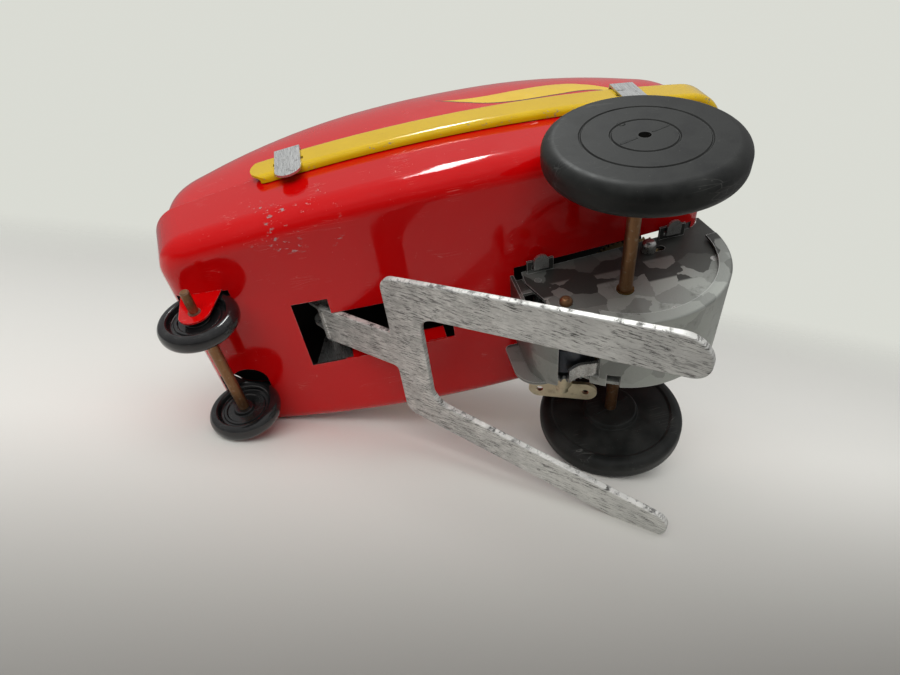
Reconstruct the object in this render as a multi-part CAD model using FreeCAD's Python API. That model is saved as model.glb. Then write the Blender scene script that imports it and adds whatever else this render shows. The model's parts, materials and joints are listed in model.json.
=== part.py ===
"""Wind-up tin somersaulting car: a red two-shell body, a clockwork motor hung under its
belly and a forked lever that swings down and throws the car over.

Everything is drawn in the body frame: rear axle on the origin, X to the nose, Y to the
left, Z up, belly pan level. The finished shapes are then tipped nose down by RAKE, so that
both pairs of wheels stand on one level ground line. Millimetres.
"""
import FreeCAD, Part
import math
import os

V = FreeCAD.Vector
UP_Y = V(0, 1, 0)

# ---------------------------------------------------------------- driving dimensions
RAKE = 12.5            # nose-down angle of the body over its wheels
TIN = 0.4              # body sheet
CLEAR = 0.05           # fit gap between fixed pieces
RUN = 0.04             # radial running clearance of a shaft

# body shells
SIDE_R = 400.0         # plan radius of each body side
SIDE_X = 28.0          # where the body is widest
HALF_W = 35.0          # half width there
SEAM_Z = 34.0          # height of the seam over the rear axle
NOSE_TOP_X = 101.3     # nose at the seam
NOSE_LOW_X = 98.2      # nose at the belly
TAIL_TOP_X = -34.5     # tail at the seam
TAIL_LOW_X = -26.0     # tail at the belly
BELLY = ((TAIL_LOW_X, 16.8), (24.0, 13.8), (NOSE_LOW_X, 17.0))
PAN_CORNER = 8.0       # plan corners
PAN_EDGE = 5.0         # rounding from belly to sides
CROWN = 41.0           # height of the top shell over the seam
CROWN_X = 20.0         # where it is highest
CROWN_NOSE = 15.0      # its height at the nose
CROWN_TAIL = 22.5      # and at the tail
SQUARENESS = 3.6       # exponent of its cross-section: 2 is an ellipse
END_ROUND = 5.0        # side-view rounding of the top shell's nose and tail
LAP = 1.2              # how far the top shell reaches down inside the pan
END_GAP = 1.25         # top shell drawn in at nose and tail to sit inside the pan

# openings of the belly pan
SLOT_HALF = 10.0       # half width of the lever slot's wide front
SLOT_NARROW_Y = 5.6    # left edge of the narrow rear
SLOT_REAR_X = 38.0
SLOT_STEP_X = 66.0
SLOT_FRONT_X = 74.3
MOTOR_HOLE = (-24.4, 21.9, -14.6, 7.6)

# seam trims and tabs
TRIM_LOW = 30.2
TRIM_HIGH = 38.4
TRIM_PROUD = 2.0       # how far the trim stands off the side
TRIM_SHEET = 0.5
TRIM_END_X = 76.0
TRIM_WRAP = 174.0      # plan angle where the trim stops at the tail corner
TAB_X = (67.0, -12.8)
TAB_HALF = 2.95
TAB_LOW = 26.2         # round lower end of the tabs
TAB_T = 0.5

# wheels and axles
REAR_R = 19.0
REAR_MID_Y = 39.7
REAR_HALF_T = 3.2
REAR_AXLE_R = 1.5
FRONT_X = 92.7
FRONT_Z = 10.0
FRONT_R = 8.7
FRONT_MID_Y = 15.0
FRONT_AXLE_R = 1.3
FRONT_AXLE_END = 23.3
FRONT_END_R = 1.0      # turned-down left end of the front axle
EAR_Y = 17.6           # outer face of the front axle ears

# clockwork
PLATE_L = 5.85         # outer face of the left motor plate
PLATE_R = -13.5        # outer face of the right motor plate
PLATE_T = 0.8
DRUM_X = -4.5
DRUM_Z = 10.5
DRUM_R = 23.75         # outside of the wrapped band
BAND_T = 0.6
ARBOR_X = 14.0         # winding arbor
ARBOR_Z = 0.0
ARBOR_R = 1.5
CRANK_X = -10.9        # arbor of the slow crank wheel
CRANK_Z = 11.37
MODULE = 0.5
GREAT_TEETH = 28       # on the winding arbor, and the equal wheel on the rear axle
PINION_TEETH = 12
CRANK_TEETH = 51
RATCHET_TEETH = 14
GREAT_Y = -12.45       # right face of the great wheel, just inside the right plate
GREAT_T = 1.0
BUSH_R = 2.0           # barrel of the rear axle's eyelets
COLLAR_R = 2.5
CRANK_ARBOR_R = 0.9
CRANK_HEAD_R = 1.7     # domed head of the crank arbor
CRANK_HEAD = 3.0
CRANK_PIN_R = 0.7
PILLAR_R = 1.3
PILLAR_NECK_R = 0.8
CLICK_RIVET_R = 0.5
CLICK_R = 5.7          # click pivot from the winding arbor
SLEEVE_R = 2.3
LOBE_X = 26.4          # the right plate's lobe reaches past the front strap
LOBE_LOW = -5.6
LOOP_X = (12.5, -21.5) # fixing ears along the plates
LOOP_W = 6.5
LIP_W = 3.0            # the band's lip over the left plate
STOP_PIVOT = (6.0, -6.5)
STOP_Y = (-11.0, -7.0)
STOP_PIN_R = 0.8
KEY_TILT = 24.0        # rest angle of the key's wings
KEY_Y = (-26.5, -20.8) # right and left edges of the wings
KEY_REACH = 8.6
KEY_T = 0.9
KEY_EYE_R = 0.9
HUB_R = 2.3            # the key's round hub
HUB_L = 5.0

# flip lever
LEVER_T = 1.5
LEVER_EDGE = 0.35      # worn rounding of its edges
LEVER_X = 50.0         # middle of the cross bar
LEVER_Z = 0.8
LEVER_SLOPE = 43.7     # fall of the fork below the belly plane
PIVOT_X = 68.6
PIVOT_Z = 24.0
PIVOT_R = 1.25
ARM = 8.0              # from the pivot up to the push rod's eye
STEM_HALF = 5.35
ROD_Y = 4.5
ROD_R = 0.5
ROD_DROP = 5.2         # rear end bent down beside the crank pin
BRACKET_Y = 11.0
BRACKET_T = 0.8


# ---------------------------------------------------------------- small makers
def cyl_y(x, z, r, y0, y1):
    """A round bar along Y."""
    return Part.makeCylinder(r, y1 - y0, V(x, y0, z), UP_Y)


def ring_y(x, z, r_in, r_out, y0, y1):
    """A tube along Y."""
    return cyl_y(x, z, r_out, y0, y1).cut(cyl_y(x, z, r_in, y0 - 1, y1 + 1))


def box(x0, x1, y0, y1, z0, z1):
    return Part.makeBox(x1 - x0, y1 - y0, z1 - z0, V(x0, y0, z0))


def prism_y(edges, y0, y1):
    """A closed chain of edges in the XZ plane, made solid from y0 to y1."""
    face = Part.Face(Part.Wire(edges))
    face.translate(V(0, y0, 0))
    return face.extrude(V(0, y1 - y0, 0))


def poly_xz(points):
    """Straight edges round a list of (x, z) corners."""
    ring = [V(x, 0, z) for x, z in points]
    return [Part.makeLine(a, b) for a, b in zip(ring, ring[1:] + ring[:1])]


def polar(cx, cz, r, deg):
    """The (x, z) point at an angle round a centre; 0 is forward and 90 is up."""
    a = math.radians(deg)
    return cx + r * math.cos(a), cz + r * math.sin(a)


def arc_xz(a, b, c):
    return Part.Arc(V(a[0], 0, a[1]), V(b[0], 0, b[1]), V(c[0], 0, c[1])).toShape()


def line_xz(a, b):
    return Part.makeLine(V(a[0], 0, a[1]), V(b[0], 0, b[1]))


def rounded(corners):
    """A closed outline from (x, z, radius) corners: straight edges, each corner rounded."""
    edges = []
    last = None
    first = None
    count = len(corners)
    for i, (x, z, r) in enumerate(corners):
        here = V(x, 0, z)
        before = V(corners[i - 1][0], 0, corners[i - 1][1]) - here
        after = V(corners[(i + 1) % count][0], 0, corners[(i + 1) % count][1]) - here
        before.normalize()
        after.normalize()
        start, end = here, here
        if r > 0:
            half = before.getAngle(after) / 2
            start = here + before * (r / math.tan(half))
            end = here + after * (r / math.tan(half))
            middle = here + (before + after).normalize() * (r / math.sin(half) - r)
        if last is not None:
            edges.append(Part.makeLine(last, start))
        if r > 0:
            edges.append(Part.Arc(start, middle, end).toShape())
        first = start if first is None else first
        last = end
    edges.append(Part.makeLine(last, first))
    return edges


def mirror_y(shape):
    return shape.mirror(V(0, 0, 0), UP_Y)


def largest(shape):
    """The biggest solid of a cut, as one clean solid."""
    return max(shape.Solids, key=lambda s: s.Volume)


def edges_where(shape, test):
    """Edges whose middle point passes a test."""
    found = []
    for edge in shape.Edges:
        mid = edge.valueAt((edge.FirstParameter + edge.LastParameter) / 2)
        if test(edge, mid):
            found.append(edge)
    return found


# ---------------------------------------------------------------- body shells
def side_half(x):
    """Half width of the body in plan."""
    return HALF_W - SIDE_R + math.sqrt(SIDE_R ** 2 - (x - SIDE_X) ** 2)


def plan_prism(inset, z0, z1):
    """The body's long plan lens, two side arcs, made solid from z0 to z1."""
    r = SIDE_R - inset
    back, front = -45.0, 110.0
    y0 = HALF_W - SIDE_R

    def side(sign):
        pts = []
        for x in (back, SIDE_X, front):
            pts.append(V(x, sign * (y0 + math.sqrt(r ** 2 - (x - SIDE_X) ** 2)), z0))
        return pts
    left, right = side(1), side(-1)
    wire = Part.Wire([
        Part.Arc(*left).toShape(),
        Part.makeLine(left[2], right[2]),
        Part.Arc(*reversed(right)).toShape(),
        Part.makeLine(right[0], left[0]),
    ])
    return Part.Face(wire).extrude(V(0, 0, z1 - z0))


def pan_solid(inset, top):
    """The belly pan as a full solid, drawn in by inset, up to height top."""
    (xa, za), (xb, zb), (xc, zc) = BELLY
    grow = (top - SEAM_Z) / (SEAM_Z - zc)
    nose = NOSE_TOP_X + (NOSE_TOP_X - NOSE_LOW_X) * grow - inset
    tail = TAIL_TOP_X + (TAIL_TOP_X - TAIL_LOW_X) * grow + inset
    a, b, c = (xa + inset, za + inset), (xb, zb + inset), (xc - inset, zc + inset)
    side = [
        arc_xz(a, b, c),
        line_xz(c, (nose, top)),
        line_xz((nose, top), (tail, top)),
        line_xz((tail, top), a),
    ]
    solid = prism_y(side, -50, 50).common(plan_prism(inset, 0, 60))

    def corner(edge, mid):
        upright = abs(edge.tangentAt(edge.FirstParameter).z) > 0.7
        return upright and abs(mid.y) > 20 and (mid.x > 90 or mid.x < -20)
    solid = solid.makeFillet(PAN_CORNER - inset, edges_where(solid, corner))

    def low(edge, mid):
        return mid.z < zc + inset + 0.6
    return solid.makeFillet(PAN_EDGE - inset, edges_where(solid, low))


def shell_section(x, inset):
    """A bow over the seam at station x: half a flattened oval, square to X."""
    nose, tail = NOSE_TOP_X - END_GAP, TAIL_TOP_X + END_GAP
    half = side_half(x) - TIN - 2 * CLEAR - inset
    rise = crown(x) - inset
    corner = PAN_CORNER - TIN
    for end in (nose - x, x - tail):
        if end < corner:
            half -= corner - math.sqrt(max(corner ** 2 - (corner - end) ** 2, 0.0))
        if end < END_ROUND:
            rise *= math.sqrt(1 - (1 - (end + 0.12) / END_ROUND) ** 2)
    base = SEAM_Z - LAP - (1.0 if inset > 0 else 0.0)
    pts = []
    steps = 20
    for i in range(steps + 1):
        t = math.pi * i / steps
        c, s = math.cos(t), math.sin(t)
        reach = (abs(c / half) ** SQUARENESS + abs(s / rise) ** SQUARENESS) ** (-1 / SQUARENESS)
        pts.append(V(x, reach * c, SEAM_Z + reach * s))
    curve = Part.BSplineCurve()
    curve.interpolate(pts)
    low_l, low_r = V(x, pts[0].y, base), V(x, pts[-1].y, base)
    return Part.Wire([
        curve.toShape(),
        Part.makeLine(pts[-1], low_r),
        Part.makeLine(low_r, low_l),
        Part.makeLine(low_l, pts[0]),
    ])


def crown(x):
    """Height of the top shell over the seam along the car."""
    if x > CROWN_X:
        u = (x - CROWN_X) / (NOSE_TOP_X - CROWN_X)
        return CROWN - (CROWN - CROWN_NOSE) * u ** 2.9
    u = (CROWN_X - x) / (CROWN_X - TAIL_TOP_X)
    return CROWN - (CROWN - CROWN_TAIL) * u ** 2.3


def shell_solid(inset):
    nose, tail = NOSE_TOP_X - END_GAP, TAIL_TOP_X + END_GAP
    near = [inset + 0.1, 0.9, 2.2, 4.2, 8.0, 11.0, 16.0]
    stations = [tail + d for d in near] + [-8, 6, 24, 44, 60, 74]
    stations += [nose - d for d in reversed(near)]
    return Part.makeLoft([shell_section(x, inset) for x in stations], True, False)


def top_shell():
    """The bulged roof, open below, its edge lapped inside the pan and notched for the tabs."""
    shell = shell_solid(0.0).cut(shell_solid(TIN))
    for tab in tab_places():
        shell = shell.cut(tab_slot(tab, SEAM_Z - 4))
    return largest(shell)


def ear(sign):
    """One front axle ear, bent down from the belly pan, tapering to a round tip."""
    tip = 3.5
    top_z, x0, x1 = 17.15, 86.9, 96.3
    a, b = (x0, top_z), (x1, top_z)
    low_a = polar(FRONT_X, FRONT_Z, tip, 200)
    low_b = polar(FRONT_X, FRONT_Z, tip, -20)
    bottom = polar(FRONT_X, FRONT_Z, tip, 270)
    edges = [line_xz(a, low_a), arc_xz(low_a, bottom, low_b), line_xz(low_b, b), line_xz(b, a)]
    y0, y1 = EAR_Y - TIN, EAR_Y
    plate = prism_y(edges, y0, y1).cut(cyl_y(FRONT_X, FRONT_Z, FRONT_AXLE_R + RUN, y0 - 1, y1 + 1))
    return plate if sign > 0 else mirror_y(plate)


def ear_window(sign):
    """The round-ended hole that each ear leaves in the pan."""
    y_in, y_out = 7.5, EAR_Y - TIN
    x0, x1, end_r = 86.1, 97.6, 4.6
    cut = box(x0, x1, y_in + end_r, y_out, 5, 19.6)
    cut = cut.fuse(Part.makeCylinder(end_r, 14.6, V(x0 + end_r, y_in + end_r, 5)))
    cut = cut.fuse(box(x0 + end_r, x1, y_in + 2, y_in + end_r, 5, 19.6))
    return cut if sign > 0 else mirror_y(cut)


def lever_slot():
    """The T-shaped slot for the flip lever: wide in front, narrow and off-centre behind."""
    front = box(SLOT_STEP_X, SLOT_FRONT_X, -SLOT_HALF, SLOT_HALF, 5, 25)
    return front.fuse(box(SLOT_REAR_X, SLOT_STEP_X + 0.5, -SLOT_HALF, SLOT_NARROW_Y, 5, 25))


def slot_flange():
    """The right edge of the narrow slot, turned up into the body."""
    return box(40.0, 64.0, -SLOT_HALF - TIN, -SLOT_HALF, 14.3, 18.6).common(pan_solid(0.1, SEAM_Z))


def bottom_pan():
    pan = pan_solid(0.0, SEAM_Z).cut(pan_solid(TIN, SEAM_Z + 4))
    x0, x1, y0, y1 = MOTOR_HOLE
    pan = pan.cut(lever_slot()).cut(box(x0, x1, y0, y1, 5, 20))
    for sign in (1, -1):
        pan = pan.cut(ear_window(sign))
    pan = pan.fuse(slot_flange())
    for sign in (1, -1):
        pan = pan.fuse(ear(sign))
    for tab in tab_places():
        pan = pan.cut(tab_slot(tab))
    return largest(pan)


def tab_places():
    """Seam tabs: station along the car and side."""
    return [(x, sign) for x in TAB_X for sign in (1, -1)]


def along_side(shape, tab):
    """Turns a piece drawn on the Y axis, outwards from zero, to its station on one side."""
    x, sign = tab
    slope = math.degrees(math.asin((x - SIDE_X) / SIDE_R))
    placed = shape.copy()
    placed.rotate(V(0, 0, 0), V(0, 0, 1), -slope)
    placed.translate(V(x, side_half(x), 0))
    return placed if sign > 0 else mirror_y(placed)


def tab_slot(tab, low=SEAM_Z - 1.0):
    """Room for one tab where it passes out through the seam."""
    reach = TAB_HALF + 0.5
    return along_side(box(-reach, reach, -5, 6, low, SEAM_Z + 0.2), tab)


def trim_profile(radius):
    """The strip's section, a shallow channel open towards the body, at a plan radius."""
    near, far = radius + 0.25, radius + TRIM_PROUD
    low, high, t, bend = TRIM_LOW, TRIM_HIGH, TRIM_SHEET, 1.3
    return rounded([
        (near, low, 0), (far, low, bend), (far, high, bend), (near, high, 0),
        (near, high - t, 0), (far - t, high - t, bend - t), (far - t, low + t, bend - t),
        (near, low + t, 0),
    ])


def trim_sweep(radius, centre, start, end):
    """The section carried round a vertical axis from one plan angle to another."""
    steps = 8
    wires = []
    for i in range(steps + 1):
        wire = Part.Wire(trim_profile(radius))
        wire.rotate(V(0, 0, 0), V(0, 0, 1), start + (end - start) * i / steps)
        wires.append(wire)
    return Part.makeLoft(wires, True, False).translated(V(*centre, 0))


def trim_strip(sign):
    """The bright strip that hides the seam of one side, round at its front end and wrapped
    round the tail corner."""
    side_centre = (SIDE_X, HALF_W - SIDE_R)
    corner_x = TAIL_TOP_X + PAN_CORNER
    reach = SIDE_R - PAN_CORNER
    corner_y = side_centre[1] + math.sqrt(reach ** 2 - (corner_x - SIDE_X) ** 2)
    meet = math.degrees(math.acos((corner_x - SIDE_X) / reach))
    front = math.degrees(math.acos((TRIM_END_X - SIDE_X) / SIDE_R))
    strip = trim_sweep(SIDE_R, side_centre, front, meet)
    strip = strip.fuse(trim_sweep(PAN_CORNER, (corner_x, corner_y), meet, TRIM_WRAP))
    round_r = (TRIM_HIGH - TRIM_LOW) / 2
    round_x = TRIM_END_X - round_r
    nose = box(round_x, 90, 20, 60, TRIM_LOW - 1, TRIM_HIGH + 1)
    strip = strip.cut(nose.cut(cyl_y(round_x, TRIM_LOW + round_r, round_r, 20, 60)))
    for tab in tab_places():
        strip = strip.cut(tab_slot(tab))
    strip = largest(strip)
    return strip if sign > 0 else mirror_y(strip)


def seam_tabs():
    """Four tin tongues: each passes out through the seam and is folded up and down over
    the trim, with a round lower end."""
    tabs = []
    for tab in tab_places():
        t, half, y = TAB_T, TAB_HALF, TRIM_PROUD + 2 * CLEAR
        shank = box(-half, half, y - 4.4, y + t, 33.35, 33.85)
        top = TRIM_HIGH + CLEAR + t
        up = box(-half, half, y, y + t, 33.35, top)
        lean = box(-half, half, y - 2.2, y + t, top - t, top)
        down = box(-half, half, y, y + t, TAB_LOW + half, 33.85)
        foot = cyl_y(0, TAB_LOW + half, half, y, y + t)
        tongue = shank.fuse([up, lean, down, foot]).removeSplitter()
        tabs += along_side(tongue, tab).Solids
    return Part.makeCompound(tabs)


# ---------------------------------------------------------------- wheels and axles
def spin_y(corners, x, z):
    """A turned piece: (radius, y, rounding) corners swept round a line along Y through (x, z)."""
    face = Part.Face(Part.Wire(rounded(corners)))
    face.rotate(V(0, 0, 0), V(1, 0, 0), -90)
    return face.revolve(V(0, 0, 0), UP_Y, 360).translated(V(x, 0, z))


def rear_wheel(sign):
    """A one-piece rubber wheel: ring grooves outside, a flat disc with a raised boss inside."""
    inner, outer = REAR_MID_Y - REAR_HALF_T, REAR_MID_Y + REAR_HALF_T
    bore = REAR_AXLE_R
    blind = outer - 1.6
    groove = 0.35
    corners = [
        (bore, inner - 0.9, 0), (6.8, inner - 0.9, 0.5), (7.3, inner + 0.4, 0.3),
        (15.4, inner + 0.4, 0.4), (16.0, inner, 0.3), (REAR_R, inner, 2.2), (REAR_R, outer, 2.6),
        (12.1, outer, 0), (11.8, outer - groove, 0.1), (11.5, outer, 0),
        (6.5, outer, 0), (6.2, outer - groove, 0.1), (5.9, outer, 0), (1.2, outer, 0),
        (1.2, blind, 0), (bore, blind, 0),
    ]
    wheel = spin_y(corners, 0, 0)
    return wheel if sign > 0 else mirror_y(wheel)


def rear_axle():
    end = REAR_MID_Y + REAR_HALF_T - 1.6
    return cyl_y(0, 0, REAR_AXLE_R, -end, end)


def front_wheel(sign):
    """A hard moulded wheel: rounded tyre, sunk disc with a ring and a boss on each face."""
    half = 2.0
    face = [(FRONT_AXLE_R, 1.5, 0), (2.3, 1.5, 0.3), (2.6, 0.6, 0.2), (4.2, 0.6, 0.1),
            (4.4, 0.9, 0.1), (5.0, 0.9, 0.1), (5.2, 0.6, 0.1), (5.9, 0.6, 0.3),
            (6.3, half, 0.6), (FRONT_R, half, 1.8)]
    near = [(r, FRONT_MID_Y - d, bend) for r, d, bend in face]
    far = [(r, FRONT_MID_Y + d, bend) for r, d, bend in reversed(face)]
    wheel = spin_y(near + far, FRONT_X, FRONT_Z)
    return wheel if sign > 0 else mirror_y(wheel)


def front_axle():
    """The wire axle, its left end outside the ear turned down a little."""
    end = FRONT_AXLE_END
    step = EAR_Y + 0.2
    bar = cyl_y(FRONT_X, FRONT_Z, FRONT_AXLE_R, -end, step)
    bar = bar.fuse(cyl_y(FRONT_X, FRONT_Z, FRONT_END_R, step, end)).removeSplitter()
    ends = edges_where(bar, lambda e, m: abs(abs(m.y) - end) < 1e-3)
    return bar.makeChamfer(0.25, ends)


# ---------------------------------------------------------------- gears
def gear(x, z, teeth, y0, y1, bore, turn):
    """A spur wheel with straight-sided teeth; turn is the angle of one tooth's middle."""
    pitch = MODULE * teeth / 2
    tip, root = pitch + 0.8 * MODULE, pitch - 1.2 * MODULE
    step = 360.0 / teeth
    points = []
    for i in range(teeth):
        mid = turn + i * step
        for r, off in ((root, -0.31), (tip, -0.12), (tip, 0.12), (root, 0.31)):
            points.append(polar(x, z, r, mid + off * step))
    wheel = prism_y(poly_xz(points), y0, y1)
    return wheel.cut(cyl_y(x, z, bore, y0 - 1, y1 + 1))


def beside_great_wheel():
    """The thin layer left of the great wheel that holds the ratchet and its click."""
    return GREAT_Y + GREAT_T + 0.15, GREAT_Y + GREAT_T + 1.0


def ratchet_wheel():
    """Saw teeth on the winding arbor."""
    step = 360.0 / RATCHET_TEETH
    tip, root = 4.6, 3.7
    points = []
    for i in range(RATCHET_TEETH):
        points.append(polar(ARBOR_X, ARBOR_Z, root, i * step + 1.0))
        points.append(polar(ARBOR_X, ARBOR_Z, tip, i * step))
    points.reverse()
    wheel = prism_y(poly_xz(points), *beside_great_wheel())
    return wheel.cut(cyl_y(ARBOR_X, ARBOR_Z, ARBOR_R, -20, -5))


def great_wheel():
    toward_axle = 180.0
    wheel = gear(ARBOR_X, ARBOR_Z, GREAT_TEETH, GREAT_Y, GREAT_Y + GREAT_T, ARBOR_R + RUN, toward_axle)
    x, z = click_pivot()
    return wheel.cut(cyl_y(x, z, CLICK_RIVET_R, -20, -10))


def click_pivot():
    return polar(ARBOR_X, ARBOR_Z, CLICK_R, 20)


def axle_pinion():
    """Driven by the great wheel: a half-tooth turn sets its gap on the wheel's tooth."""
    return gear(0, 0, GREAT_TEETH, GREAT_Y, GREAT_Y + GREAT_T + 0.1, REAR_AXLE_R, 180.0 / GREAT_TEETH)


def crank_angle():
    return math.degrees(math.atan2(CRANK_Z, CRANK_X))


def crank_pinion():
    return gear(0, 0, PINION_TEETH, -1.6, 1.4, REAR_AXLE_R, crank_angle())


def crank_wheel():
    step = 360.0 / CRANK_TEETH
    wheel = gear(CRANK_X, CRANK_Z, CRANK_TEETH, -0.7, 0.5, CRANK_ARBOR_R, crank_angle() + 180 + step / 2)
    for deg in (60, 150, 240, 330):
        x, z = polar(CRANK_X, CRANK_Z, 8.0, deg)
        wheel = wheel.cut(cyl_y(x, z, 2.6, -2, 2))
    x, z = crank_pin_place()
    return wheel.cut(cyl_y(x, z, CRANK_PIN_R, -2, 2))


def crank_pin_place():
    return polar(CRANK_X, CRANK_Z, 5.0, 15)


def crank_pin():
    x, z = crank_pin_place()
    return cyl_y(x, z, CRANK_PIN_R, -0.7, 3.7)


def crank_arbor():
    """The slow wheel's arbor, with a tall domed head outside the left plate."""
    under, top = PLATE_L + 0.15, PLATE_L + CRANK_HEAD
    bar = cyl_y(CRANK_X, CRANK_Z, CRANK_ARBOR_R, PLATE_R - 0.4, under)
    head = cyl_y(CRANK_X, CRANK_Z, CRANK_HEAD_R, under, top)
    head = head.makeFillet(1.2, edges_where(head, lambda e, m: abs(m.y - top) < 1e-3))
    return bar.fuse(head).removeSplitter()


# ---------------------------------------------------------------- clockwork frame
def plate_outline():
    """The motor plate seen from the side: round behind and below, square up at the front."""
    r = DRUM_R - BAND_T - 0.1
    disc = cyl_y(DRUM_X, DRUM_Z, r, 0, 1)
    front = prism_y(poly_xz([(0, 17.5), (19.8, 17.5), (20.4, 9.6), (18.1, 2.4), (12, 4), (0, 10)]), 0, 1)
    lobe = cyl_y(ARBOR_X, ARBOR_Z, 4.3, 0, 1)
    body = disc.fuse([front, lobe])
    tail = prism_y(poly_xz([(-29, 11.5), (-10, 11.5), (-10, 30), (-28.2, 19.6)]), 0, 1)
    body = body.common(box(-60, 60, -1, 2, -40, 22)).fuse(tail.common(box(-60, 60, -1, 2, 0, 19.8)))
    return largest(body.cut(pan_blank()))


def pan_blank():
    return pan_solid(-0.12, SEAM_Z)


def motor_plate(y0, is_left):
    plate = plate_outline().removeSplitter()
    plate = plate.common(box(-60, 60, 0, PLATE_T, -40, 60)).translated(V(0, y0, 0))
    crank_r = CRANK_ARBOR_R + RUN
    holes = [(0, 0, BUSH_R + CLEAR), (ARBOR_X, ARBOR_Z, ARBOR_R + RUN), (CRANK_X, CRANK_Z, crank_r)]
    for x, z in pillar_places():
        holes.append((x, z, PILLAR_NECK_R))
    if not is_left:
        holes.append((*STOP_PIVOT, STOP_PIN_R))
        lobe = prism_y(rounded([
            (8, 9, 0), (LOBE_X, 9, 1.5), (LOBE_X, LOBE_LOW, 6.0), (10, LOBE_LOW + 0.4, 2.5),
        ]), 0, PLATE_T)
        plate = plate.fuse(lobe.translated(V(0, y0, 0))).removeSplitter()
    for x, z, r in holes:
        plate = plate.cut(cyl_y(x, z, r, y0 - 1, y0 + 2))
    if is_left:
        slot_x = CRANK_X - 3.2
        slot = box(slot_x, CRANK_X, y0 - 1, y0 + 2, CRANK_Z - crank_r, CRANK_Z + crank_r)
        plate = plate.cut(slot.fuse(cyl_y(slot_x, CRANK_Z, crank_r, y0 - 1, y0 + 2)))
    side = 1 if is_left else -1
    edge = y0 + PLATE_T if is_left else y0
    for x0 in LOOP_X:
        plate = plate.fuse(loop(x0, edge, side))
    return largest(plate.removeSplitter())


def belly_z(x):
    """Height of the belly at the middle of the pan."""
    (xa, za), (xb, zb), (xc, zc) = BELLY
    la = (x - xb) * (x - xc) / ((xa - xb) * (xa - xc))
    lb = (x - xa) * (x - xc) / ((xb - xa) * (xb - xc))
    lc = (x - xa) * (x - xb) / ((xc - xa) * (xc - xb))
    return la * za + lb * zb + lc * zc


def loop_top(x0):
    """Upper face of a fixing ear, just under the pan."""
    return min(belly_z(x0), belly_z(x0 + LOOP_W)) - 0.75


def loop(x0, edge, side):
    """A slotted ear on the plate's top edge, turned out under the pan."""
    z = loop_top(x0)
    ys = sorted((edge - side * PLATE_T, edge + side * 3.4))
    ear_plate = box(x0, x0 + LOOP_W, *ys, z - 0.6, z)
    gap = sorted((edge + side * 1.0, edge + side * 2.2))
    return ear_plate.cut(box(x0 + 1.2, x0 + LOOP_W - 1.2, *gap, z - 2, z + 1))


def fixing_tongues():
    """Four tongues of the pan edge, pushed through the ears of the plates and bent over."""
    tongues = []
    for edge, side in ((PLATE_L, 1), (PLATE_R, -1)):
        for x0 in LOOP_X:
            z = loop_top(x0)
            y = edge + side * 1.6
            half, mid = 1.8, x0 + LOOP_W / 2
            stem = box(mid - half, mid + half, y - 0.3, y + 0.3, z - 1.4, z + 0.6)
            fold = box(mid - half, mid + half, *sorted((y - side * 0.3, y + side * 2.0)), z - 1.4, z - 0.8)
            tip = Part.makeCylinder(half, 0.6, V(mid, y + side * 1.9, z - 1.4))
            tongues += stem.fuse([fold, tip]).removeSplitter().Solids
    return Part.makeCompound(tongues)


def pillar_places():
    return [polar(DRUM_X, DRUM_Z, 20.2, 200), polar(DRUM_X, DRUM_Z, 20.2, 262), (17.3, 9.6)]


def motor_pillars():
    """Three shouldered spacer rivets between the plates, filed flush on the left plate."""
    inner_l, inner_r = PLATE_L - PLATE_T, PLATE_R + PLATE_T
    posts = []
    for x, z in pillar_places():
        post = cyl_y(x, z, PILLAR_R, inner_r, inner_l)
        post = post.fuse(cyl_y(x, z, PILLAR_NECK_R, PLATE_R - 0.45, PLATE_L + 0.05))
        posts.append(post.removeSplitter())
    return Part.makeCompound(posts)


def drum_band():
    """The band wrapped round the plates: a rounded lip stands over the left plate, and a
    notched tab reaches forward at the right edge."""
    r0, lip_top, fold = DRUM_R - BAND_T, PLATE_L + 1.2, 0.5
    band = spin_y([
        (r0, PLATE_R - 0.2, 0), (DRUM_R, PLATE_R - 0.2, 0), (DRUM_R, lip_top, fold),
        (DRUM_R - LIP_W, lip_top, 0), (DRUM_R - LIP_W, lip_top - BAND_T, 0), (r0, lip_top - BAND_T, 0),
    ], DRUM_X, DRUM_Z)
    start = polar(DRUM_X, DRUM_Z, 40, 178.2)
    end = polar(DRUM_X, DRUM_Z, 40, -51)
    keep = prism_y(poly_xz([(DRUM_X, DRUM_Z), start, (-60, -60), (20, -60), end]), -30, 30)
    band = band.common(keep)
    above_tab = box(8.8, 14, PLATE_R + 2.4, PLATE_L + 5, -20, 0)
    notch = box(4.4, 7.3, PLATE_R - 1, PLATE_R + 3.7, -20, 0)
    return largest(band.cut(above_tab.fuse(notch)))


def front_strap():
    """The strap across the front of the plates, rounded under the winding arbor."""
    r, t = 8.2, 0.8
    x, z = ARBOR_X, ARBOR_Z + 0.5
    top = 13.4
    end, mid = -62, -31
    edges = [
        line_xz((x + r, top), (x + r, z)),
        arc_xz((x + r, z), polar(x, z, r, mid), polar(x, z, r, end)),
        line_xz(polar(x, z, r, end), polar(x, z, r + t, end)),
        arc_xz(polar(x, z, r + t, end), polar(x, z, r + t, mid), (x + r + t, z)),
        line_xz((x + r + t, z), (x + r + t, top)),
        line_xz((x + r + t, top), (x + r, top)),
    ]
    inner_l, inner_r = PLATE_L - PLATE_T, PLATE_R + PLATE_T
    strap = prism_y(edges, inner_r + CLEAR, PLATE_L - 0.1)
    arm = box(19.0, x + r + 0.1, inner_r + CLEAR, inner_r + CLEAR + 0.8, 7.0, 12.2)
    arm = arm.fuse(box(19.0, x + r + 0.1, inner_l - CLEAR - 0.8, inner_l - CLEAR, 7.0, 12.2))
    strap = strap.fuse(arm).removeSplitter()
    return largest(strap.cut(pan_blank()))


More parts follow.
